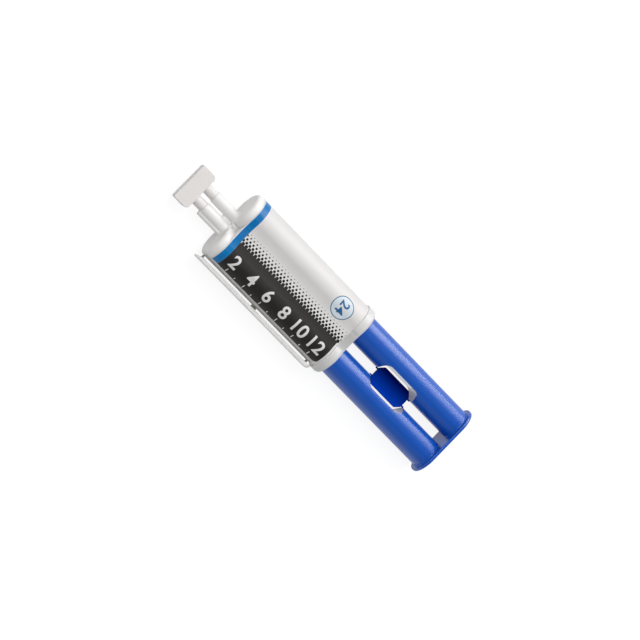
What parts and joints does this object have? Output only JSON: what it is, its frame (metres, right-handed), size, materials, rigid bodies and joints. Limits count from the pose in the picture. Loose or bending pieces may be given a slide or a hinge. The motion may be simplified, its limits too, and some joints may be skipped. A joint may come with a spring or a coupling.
{
  "type": "epoxy syringe",
  "caption": "Adhesive syringe with side-by-side barrels, a plunger that drives both, a pull-off nozzle cap, a reseal stopper stored in the plunger and a snap-off mixing spatula.",
  "frame": {"origin": "middle of the syringe's length and width, at the level that it lies on", "axes": "+X from the thumb flange to the nozzle cap, +Z out of the label's front, +Y towards the mixing spatula"},
  "size_m": [0.172, 0.0404, 0.0194],
  "materials": {
    "barrel_plastic": "translucent white, satin",
    "label_film": "printed silver film",
    "cap_plastic": "translucent white, satin",
    "plunger_plastic": "blue, glossy",
    "piston_rubber": "black, satin",
    "resin": "clear cream, wet",
    "hardener": "clear amber, wet",
    "stopper_plastic": "dark blue, glossy",
    "spatula_plastic": "translucent white, satin"
  },
  "bodies": {
    "syringe_body": {"twin_barrel": "barrel_plastic", "label": "label_film", "resin_charge": "resin", "hardener_charge": "hardener"},
    "plunger_body": {"plunger": "plunger_plastic", "resin_piston": "piston_rubber", "hardener_piston": "piston_rubber"},
    "cap_body": {"nozzle_cap": "cap_plastic"},
    "stopper_body": {"reseal_stopper": "stopper_plastic"},
    "spatula_body": {"mixing_spatula": "spatula_plastic"}
  },
  "joints": [
    {"name": "plunger_push", "type": "slide", "parent": "syringe_body", "child": "plunger_body", "axis": [1, 0, 0], "range_m": [0, 0.0647], "deforming": ["resin_charge", "hardener_charge"]},
    {"name": "cap_pull", "type": "slide", "parent": "syringe_body", "child": "cap_body", "axis": [1, 0, 0], "range_m": [0, 0.03]},
    {"name": "stopper_lift", "type": "slide", "parent": "plunger_body", "child": "stopper_body", "axis": [0, 0, 1], "range_m": [0, 0.0425]},
    {"name": "spatula_snap", "type": "slide", "parent": "syringe_body", "child": "spatula_body", "axis": [0, 1, 0], "range_m": [0, 0.02]}
  ],
  "couplings": [
    {"joint": "stopper_lift", "follows": "plunger_push", "ratio": 0.65}
  ]
}
